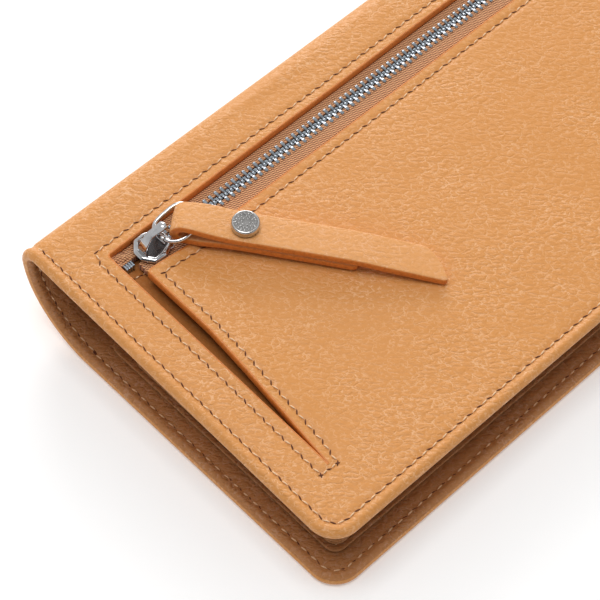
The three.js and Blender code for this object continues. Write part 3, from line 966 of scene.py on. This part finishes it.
def gusset():
    """Leather under the slit, high beside the frame and sunk under the flap, with a seam across its top; its
    darker colour is painted shade.
    """
    low, high = placed_box("slit_gusset")
    seam_y = high.y - 0.4
    high.y = zip_y + 1.5
    r = 0.4

    def sunk(x):
        """How far the gusset drops away from the frame beside the slit."""
        return 1.5 * smooth(-window_half - 1, -window_half + slit_width + 2, x)

    xs = grid_lines(low.x, high.x, r, 0.6, 0.8, 2)
    ys = grid_lines(low.y, high.y, r, 0.6, 1.6, 4)
    x, y, edge = plan_grid((low.x, low.y), (high.x, high.y), xs, ys, 1.5, both=True)
    seam = 0.25 * hump(y, seam_y, 0.5)
    step = 0.75 * smooth(seam_y, seam_y + 1.4, y)
    wave = 0.1 * ripple(x, y, 5) * smooth(0, 2, edge)
    top = high.z - np.maximum(sunk(x), step) - seam - rim_drop(edge, r) + wave
    bottom = top - 2 * r + 2 * rim_drop(edge, r)
    # painted shade: the gusset takes the darkened leather
    piece("slit_gusset_leather", closed_sheet(x, y, top, bottom), gusset_shaded_skin, FRONT, "front_cover",
          replaces=["slit_gusset"])
    points = flat_path([(low.x + 2, seam_y), (high.x - 4, seam_y - 0.2)], 0.8)
    line = raised(points, lambda x, y: high.z - sunk(x))
    sew("gusset_stitches", line, FRONT, "front_cover", 2.6, 6)


pockets()
coin_lining()
gusset()


# ---- zip ----
def zip_tape(name, side):
    """Woven tape: a cord inside the teeth, and threads that stand out where the window shows them."""
    low, high = placed_box("zip_" + name)
    outer = high.y if side > 0 else low.y
    inner = (low.y if side > 0 else high.y) - side * 1.5
    seen = inner + side * 5.8
    ys = [inner + side * v for v in (0, 0.05, 0.2, 0.4, 0.6, 0.8, 1.0, 1.15)]
    ys = sorted(ys + spaced(inner + side * 1.25, seen, 0.14) + spaced(seen, outer, 1.1) + [outer])
    xs = spaced(low.x, high.x, WEAVE / 4) + [high.x]
    x, y = np.meshgrid(xs, ys)
    reach = np.abs(y - inner)
    rows = math.pi * y / TAPE_ROW
    thread_relief = np.abs(np.sin(math.pi * x / WEAVE + rows / 2)) * np.sqrt(np.abs(np.sin(rows)))
    cord = 0.5 * np.sqrt(np.clip(1 - ((reach - 0.6) / 0.62) ** 2, 0, 1))
    wall = np.abs((window_top if side > 0 else flap_edge(x)) - inner)
    visible = smooth(0.2, 0.34, wall - reach)
    wave = 0.08 * ripple(x, y, 11)
    top = high.z + (0.85 + wave + 0.15 * thread_relief) * visible + cord * 0.3
    bottom = low.z - 0.4 * cord + 0 * x
    piece(name, closed_sheet(x, y, top, bottom), weave, FRONT, "front_cover",
          replaces=["zip_" + name])


def folded_tape_end(name, low, high, turn):
    """The lumpy end of a tape, tucked back on itself in a corner of the window."""
    middle, half = (Vector(low) + Vector(high)) / 2, (Vector(high) - Vector(low)) / 2
    rings = []
    for t in np.linspace(-1, 1, 25):
        full = math.sqrt(max(0.0, 1 - abs(t) ** 3)) * 0.96 + 0.04
        ring = []
        for a in around(20):
            swell = full * (1 + 0.1 * math.sin(3 * a + 9 * t) + 0.06 * math.sin(7 * a - 14 * t))
            ring.append((t * half.x, math.cos(a) * half.y * swell, math.sin(a) * half.z * swell))
        rings.append(ring)
    place = FRONT @ Matrix.Translation(middle) @ Matrix.Rotation(math.radians(turn), 4, "Z")
    piece(name, loft(rings), weave, place, "front_cover", sharp=60)


def tooth(x, y_outer, toward, width, half_height):
    """One metal tooth: clamped on the cord at its outer end, waisted, with a cupped head."""
    outline = ((0.0, 0.55, 0.72), (0.04, 0.8, 0.94), (0.12, 0.88, 1.02), (0.42, 0.86, 1.0), (0.54, 0.7, 0.84),
               (0.68, 0.66, 0.74), (0.82, 0.84, 0.82), (0.94, 0.84, 0.78), (1.0, 0.55, 0.6))
    rings = []
    for t, wide, tall in outline:
        w, h, c = width / 2 * wide, half_height * tall, 0.13
        y = y_outer + toward * t
        section = [(w, -h + c), (w, h - c), (w - c, h), (-w + c, h), (-w, h - c), (-w, -h + c), (-w + c, -h),
                   (w - c, -h)]
        rings.append([(x + a, y, chain_z + CHAIN_RISE + b) for a, b in section])
    return loft(rings)


def zip_metal(name, shapes, sharp):
    """Teeth or a stop, for the CAD node of the same name."""
    piece(name, gather(shapes), teeth_metal, FRONT, "front_cover", sharp, ["zip_" + name])


def teeth_row(name, toward):
    """One row of teeth along the row in the frame, with their heads towards the other row."""
    low, high = placed_box("zip_" + name)
    width, pitch = 0.99, 1.75
    count = round((high.x - low.x - width) / pitch) + 1
    y_outer = high.y if toward < 0 else low.y
    reach, half_height = toward * (high.y - low.y), (high.z - low.z) / 2
    row = [tooth(low.x + width / 2 + i * pitch, y_outer, reach, width, half_height) for i in range(count)]
    zip_metal(name, row, 30)


def ridged_stop(name, count):
    """A stop clamped on a tape, ribbed across like a short stack of plates."""
    low, high = placed_box("zip_" + name)
    aside = Vector((0, 0.9, 0))
    low, high = low - aside, high - aside
    pitch = (high.x - low.x) / count
    shapes = []
    for i in range(count):
        start, end = low.x + (i + 0.12) * pitch, low.x + (i + 0.88) * pitch
        shapes.append(block((start, low.y, low.z), (end, high.y, high.z), 0.15))
    shapes.append(block(low + Vector((0.1, 0.2, 0.1)), high - Vector((0.1, 0.2, 0.3)), 0.2))
    zip_metal(name, shapes, 35)


def zip_parts():
    """Tapes, teeth and stops, and the tucked ends of the tapes in the window's left corners."""
    zip_tape("tape_spine_side", 1)
    zip_tape("tape_flap_side", -1)
    teeth_row("teeth_spine_side", -1)
    teeth_row("teeth_flap_side", 1)
    for name, ribs in (("stop_spine_side", 4), ("stop_flap_side", 2), ("bottom_stop", 3)):
        ridged_stop(name, ribs)
    left = -window_half
    folded_tape_end("tape_end_spine_side",
                    (left - 0.4, zip_y + 1.4, -3.4), (left + 5.6, zip_y + 4.2, -1.3), -24)
    folded_tape_end("tape_end_flap_side",
                    (left + 4.2, zip_y - 4.4, -3.4), (left + 7.6, zip_y - 2.2, -1.7), 16)


# ---- slider, ring and strap ----
def slider():
    """Shield-shaped plates, curled side rails, and a bridge whose flat nose holds the ring."""
    low, high = placed_box("slider_body")
    nose, end = low.x, high.x
    wide = (high.y - low.y) / 2
    corners = [(nose, 1.3), (nose, -1.3), (nose + 2.1, -wide + 0.1), (nose + 4.9, -wide), (end - 0.6, -2.9),
               (end, -2.3), (end, 2.3), (end - 0.6, 2.9), (nose + 4.9, wide), (nose + 2.1, wide - 0.1)]
    outline = rounded_polygon([(x, y + zip_y) for x, y in corners], 0.5, 3)
    middle = Vector(((nose + end) / 2, zip_y))

    def plate(levels):
        """Outline rings, each drawn in by an inset at a height."""
        rings = []
        for inset, z in levels:
            ring = []
            for p in outline:
                out = p - middle
                q = middle + out * (1 - inset / out.length)
                ring.append((q.x, q.y, z))
            rings.append(ring)
        return loft(rings)

    top, floor, base = -0.3, chain_z + CHAIN_RISE + 1.5, low.z
    recess = top - 0.5
    upper = [(0.5, floor), (0.1, floor + 0.15), (0, floor + 0.5), (0.05, top - 0.35), (0.4, top - 0.05),
             (0.6, top), (1.0, top), (1.2, top - 0.1), (1.45, top - 0.45), (2.2, recess)]
    lower = [(0.6, base), (0.2, base + 0.1), (0, base + 0.4), (0.1, base + 0.9), (0.5, base + 1.1)]
    shapes = [plate(upper), plate(lower)]
    for side in (-1, 1):
        inner, outer = sorted((zip_y + side * 2.5, zip_y + side * 3.25))
        for z0, z1 in ((floor - 0.9, floor + 0.3), (base + 0.8, base + 2.0)):
            shapes.append(block((nose + 3.2, inner, z0), (end - 0.4, outer, z1), 0.25))
    shapes.append(bridge(nose, top, high.z))
    for x, half, drop in ((end - 2.3, 1.7, 0.05), (end - 1.5, 1.5, 0.08)):
        shapes.append(block((x, zip_y - half, recess), (x + 0.4, zip_y + half, top - drop), 0.12))
    dimple = [(0, 0.02), (0.3, 0.03), (0.42, 0.1), (0.56, 0.12), (0.68, 0.08), (0.74, -0.05), (0, -0.06)]
    shapes.append(lathe(dimple, 24, (end - 1.15, zip_y, high.z)))
    body = piece("slider_metal", gather(shapes), nickel, FRONT, "slider", sharp=28,
                 replaces=["slider_body"])
    level = FRONT.inverted()

    def in_recess(face):
        """Whether a face is the floor between the slider's rims, which takes near-black metal as painted
        shade.
        """
        return face.normal.z > 0.9 and abs((level @ face.center).z - recess) < 0.1

    # painted shade: the recess floor is near-black, standing in for the shade under the bridge
    second_material(body, recess_shade_nickel, in_recess)


def bridge(nose, foot, crown):
    """The arched bar over the slider: (x from the nose, height, half width, half thickness) along it."""
    flat = crown - 0.38
    stations = [(1.7, foot - 0.5, 1.35, 0.55), (1.75, foot + 0.5, 1.3, 0.55), (2.0, foot + 1.7, 1.2, 0.5),
                (2.5, foot + 2.8, 1.08, 0.46), (3.2, foot + 3.7, 1.0, 0.42), (4.0, flat - 0.03, 0.98, 0.38),
                (5.0, flat, 1.0, 0.36), (6.2, flat, 1.1, 0.36), (8.2, flat, 1.12, 0.38),
                (8.35, flat, 1.0, 0.26)]
    rings = []
    path = [station[:2] for station in stations]
    for i, (x, z, w, t) in enumerate(stations):
        along_x, along_z = heading(path, i)
        section = rounded_polygon([(-w, -t), (w, -t), (w, t), (-w, t)], min(0.22, t * 0.8), 3)
        rings.append([(nose + x - along_z * p.y, zip_y + p.x, z + along_x * p.y) for p in section])
    return loft(rings)


ring_spot = FRONT.inverted() @ (joint_at("strap_swing") * MM)
ring_up = (FRONT.inverted().to_3x3() @ Vector(joints["strap_swing"]["axis"])).normalized()
ring_low, ring_high = placed_box("pull_ring")
ring_wire = 0.52
ring_r = (ring_high.y - ring_low.y) / 2 - ring_wire
RING_SQUARENESS, RING_FLATTENING = 2.3, 0.34
PULL_TURN = math.radians(-52.6)  # the strap's direction on the flap
STRAP = FRONT @ Matrix.Translation((ring_spot.x, ring_spot.y, 0)) @ Matrix.Rotation(PULL_TURN, 4, "Z")
strap_tip = placed_box("pull_strap", STRAP)[1].x
cap_low, cap_high = placed_box("rivet_cap", STRAP)
rivet_x = (cap_low.x + cap_high.x) / 2
STRAP_THICK = 2.1
FOLD_X, FOLD_Z, FOLD_R = 2.75, 3.65, 2.3  # middle and radius of the strap's fold round the ring
LOWER_END = 42.3  # where the lower layer stops


def pull_ring():
    """A bent wire link, flatter on its spine side, with its butt joint near the slider's nose."""
    side = Vector((0, 1, 0)).cross(ring_up).normalized()
    other = ring_up.cross(side)
    line = []
    steps = 120
    for i in range(steps + 1):
        turn = math.radians(200) + 2 * math.pi * (0.003 + 0.994 * i / steps)
        c, s = math.cos(turn), math.sin(turn)
        reach = ring_r / (abs(c) ** RING_SQUARENESS + abs(s) ** RING_SQUARENESS) ** (1 / RING_SQUARENESS)
        flat = 1 - RING_FLATTENING * max(0.0, s)
        line.append(ring_spot + side * (c * reach) + other * (s * reach * flat))
    rings = []
    for i, centre in enumerate(line):
        along = (line[min(i + 1, steps)] - line[max(i - 1, 0)]).normalized()
        out = along.cross(ring_up)
        wire = ring_wire * (0.8 if i in (0, steps) else 1)
        rings.append([tuple(centre + (out * math.cos(a) + ring_up * math.sin(a)) * wire) for a in around(16)])
    piece("ring_wire", loft(rings), nickel, FRONT, "ring", replaces=["pull_ring"])


def curve_through(knots, step):
    """A smooth line through (x, z) knots, about `step` between points."""
    out = []
    padded = [knots[0], *knots, knots[-1]]
    for a, b, c, d in zip(padded, padded[1:], padded[2:], padded[3:]):
        n = max(1, round(math.dist(b, c) / step))
        for i in range(n):
            t = i / n
            out.append(tuple(0.5 * (2 * q + (r - p) * t + (2 * p - 5 * q + 4 * r - s) * t * t
                                    + (3 * q - p - 3 * r + s) * t ** 3) for p, q, r, s in zip(a, b, c, d)))
    return out + [knots[-1]]


def strap_width(x, lower):
    """(near side, far side) of the strap at a distance from the ring's centre."""
    half = 3.7 + 0.45 * float(smooth(2, 9, x))
    near, far = -half, half
    if lower:
        trim = 0.5 * float(smooth(LOWER_END - 0.9, LOWER_END, x))
        return near + 0.15 + trim, far - 0.15 - trim
    cut = 7.5
    if x > strap_tip - cut:
        t = min(1.0, (x - strap_tip + cut) / cut)
        far = half - (2 * half - 0.9) * t ** 2.2
    near += 0.55 * float(smooth(strap_tip - 0.8, strap_tip, x)) ** 2
    return near, far


def strap():
    """Two layers of leather round the ring, with rounded painted edges and a dent under the rivet."""
    half = STRAP_THICK / 2
    upper = [(strap_tip, half + 0.28), (strap_tip - 0.4, half + 0.3), (56, 2.1), (49, 2.95), (LOWER_END, 3.8),
             (30, 4.35), (rivet_x, 4.72), (12, 5.05), (8.5, 5.55), (5.5, 5.9), (FOLD_X, FOLD_Z + FOLD_R)]
    turns = np.linspace(0.2, 2.94, 14)
    fold = [(FOLD_X - FOLD_R * math.sin(a), FOLD_Z + FOLD_R * math.cos(a)) for a in turns]
    lower = [(FOLD_X, FOLD_Z - FOLD_R), (6, 1.6), (10, 2.25), (rivet_x, 2.4), (28, 2.0), (LOWER_END, 1.45)]
    line = [(p, False) for p in curve_through(upper, 0.9)] + [(p, False) for p in fold]
    line += [(p, True) for p in curve_through(lower, 0.9)]
    path = [p for p, _ in line]
    rings = []
    for i, ((x, z), is_lower) in enumerate(line):
        along_x, along_z = heading(path, i)
        near, far = strap_width(x, is_lower)
        thick = half * (0.9 if i in (0, len(line) - 1) else 1)
        mid, wide = (near + far) / 2, (far - near) / 2
        section = strap_section(wide, thick)
        dent = 0.22 * math.exp(-((x - rivet_x) / 3.6) ** 2)
        ring = []
        for u, v in section:
            squeeze = 1 - dent * math.exp(-(u / 3.4) ** 2)
            wave = 0.05 * float(ripple(x, u, 5)) * (abs(u) < wide - 0.6)
            rise = v * squeeze + wave
            ring.append((x + along_z * rise, mid + u, z - along_x * rise))
        rings.append(ring)
    obj = piece("pull_strap_leather", loft(rings), strap_skin, STRAP, "strap", sharp=50,
                replaces=["pull_strap"])
    forward, across = (STRAP.to_3x3().col[k].normalized() for k in (0, 1))

    def is_cut(face):
        """Whether a face is the strap's cut side or pointed end."""
        return abs(face.normal @ across) > 0.62 or face.normal @ forward > 0.8

    second_material(obj, edge_paint, is_cut)


def strap_section(wide, thick):
    """A flat oval-edged section: gently crowned faces and full rounded sides."""
    corner = min(0.5, wide * 0.9)
    points = []
    for sx, sz in ((1, -1), (1, 1), (-1, 1), (-1, -1)):
        round_corner = [(sx * u, sz * v) for u, v in arc(wide - corner, thick - corner, corner, 0, 1, 4)]
        if sx * sz < 0:
            round_corner.reverse()
        points += round_corner
        if (sx, sz) in ((1, 1), (-1, -1)):
            for share in (0.66, 0.33, 0, -0.33, -0.66):
                points.append((sx * share * (wide - corner), sz * (thick + 0.06 * (1 - share * share))))
    return points


def rivet():
    """A flat nickel cap hammered all over with small bosses inside its rim, and its post and foot."""
    z = cap_low.z
    r = (cap_high.x - cap_low.x) / 2
    h = cap_high.z - z
    dish = h - 0.12
    face = z + dish
    profile = [(0, 0), (r - 0.15, 0), (r, 0.15), (r, h - 0.4), (r - 0.08, h - 0.2), (r - 0.2, h - 0.05),
               (r - 0.32, h), (r - 0.5, h), (r - 0.6, dish), (0, dish)]
    shapes = [lathe(profile, 64, (rivet_x, 0, z))]
    for reach, count, size in ((r - 1.05, 17, 0.26), (r - 1.7, 11, 0.24), (r - 2.35, 6, 0.24)):
        for i in range(count):
            a = 2 * math.pi * (i + random.uniform(-0.2, 0.2)) / count
            boss = [(0, 0.2), (size * 0.6, 0.17), (size, 0), (0, -0.05)]
            verts, faces = lathe(boss, 8)
            spin = Matrix.Translation((rivet_x, 0, face)) @ Matrix.Rotation(a, 4, "Z")
            twist = random.uniform(-0.9, 0.9)
            spin = spin @ Matrix.Translation((reach, 0, 0)) @ Matrix.Rotation(twist, 4, "Z")
            stretch = random.uniform(0.9, 1.5)
            shapes.append(([tuple(spin @ Vector((v[0] * stretch, v[1], v[2]))) for v in verts], faces))
    cap = piece("rivet_cap_metal", gather(shapes), rivet_metal, STRAP, "strap",
                replaces=["rivet_cap"])
    level = STRAP.inverted()
    second_material(cap, rivet_ground, lambda facet: abs((level @ facet.center).z - face) < 0.02)
    low, high = placed_box("rivet_post", STRAP)
    foot = (high.x - low.x) / 2
    post = [(0, 0), (foot - 0.5, 0), (foot - 0.12, 0.12), (foot, 0.4), (foot - 0.15, 0.7), (foot - 0.6, 0.86),
            (1.2, 0.9), (1.2, high.z - low.z), (0, high.z - low.z)]
    piece("rivet_foot_metal", lathe(post, 48, (rivet_x, 0, low.z)), rivet_metal, STRAP, "strap",
          replaces=["rivet_post"])


zip_parts()
slider()
pull_ring()
strap()
rivet()


# ---- camera, light and floor ----
azimuth, elevation, distance = math.radians(-43.625), math.radians(56.247), 0.53008
level = math.cos(elevation)
to_camera = Vector((math.sin(azimuth) * level, -math.cos(azimuth) * level, math.sin(elevation)))


def camera_view():
    """A long lens that looks down on the open corner with the zip's slider."""
    target = Vector((-0.047515, 0.009608, 0.000386))
    camera = bpy.data.objects.new("camera", bpy.data.cameras.new("camera"))
    camera.data.lens, camera.data.sensor_width = 135.2, 36
    camera.data.clip_start = 0.01
    camera.location = target + to_camera * distance
    camera.rotation_euler = to_camera.to_track_quat("Z", "Y").to_euler()
    bpy.context.collection.objects.link(camera)
    bpy.context.scene.camera = camera


def sky():
    """White all round and dark behind the camera, for polished metal to mirror."""
    world = bpy.data.worlds.new("studio")
    world.use_nodes = True
    tree = world.node_tree
    where = add(tree, "ShaderNodeTexCoord").outputs["Generated"]
    facing = add(tree, "ShaderNodeVectorMath", operation="DOT_PRODUCT")
    for socket, value in zip(facing.inputs, (where, to_camera)):
        feed(tree, socket, value)
    stops = [(0.0, (1.0,) * 3), (0.62, (0.8,) * 3), (0.86, (0.12,) * 3)]
    background = tree.nodes["Background"].inputs
    feed(tree, background["Color"], ramp(tree, facing.outputs["Value"], stops))
    feed(tree, background["Strength"], 0.75)
    bpy.context.scene.world = world


def lamp(name, place, size, watts):
    """A soft square light aimed at the wallet."""
    light = bpy.data.lights.new(name, "AREA")
    light.shape, light.size, light.energy = "SQUARE", size, watts
    obj = bpy.data.objects.new(name, light)
    obj.location = place
    obj.rotation_euler = (Vector(place) - Vector((-0.02, 0, 0.01))).to_track_quat("Z", "Y").to_euler()
    bpy.context.collection.objects.link(obj)


def pale_floor():
    """A plain floor, bright enough for only the shadow close to the wallet to show."""
    mesh = bpy.data.meshes.new("floor")
    r = 2.0
    mesh.from_pydata([(-r, -r, 0), (r, -r, 0), (r, r, 0), (-r, r, 0)], [], [(0, 1, 2, 3)])
    white, tree, surface = shader("floor_white", (0.85,) * 3, 0.9)
    feed(tree, surface.inputs["Emission Color"], (1, 1, 1, 1))
    feed(tree, surface.inputs["Emission Strength"], 0.22)
    mesh.materials.append(white)
    floor = bpy.data.objects.new("floor", mesh)
    bpy.context.collection.objects.link(floor)


camera_view()
sky()
lamp("softbox", (-0.13, 0, 0.85), 0.5, 3.9)
lamp("back_light", (0.45, 0.58, 0.34), 0.45, 3.2)
pale_floor()
bpy.context.scene.view_settings.view_transform = "Standard"
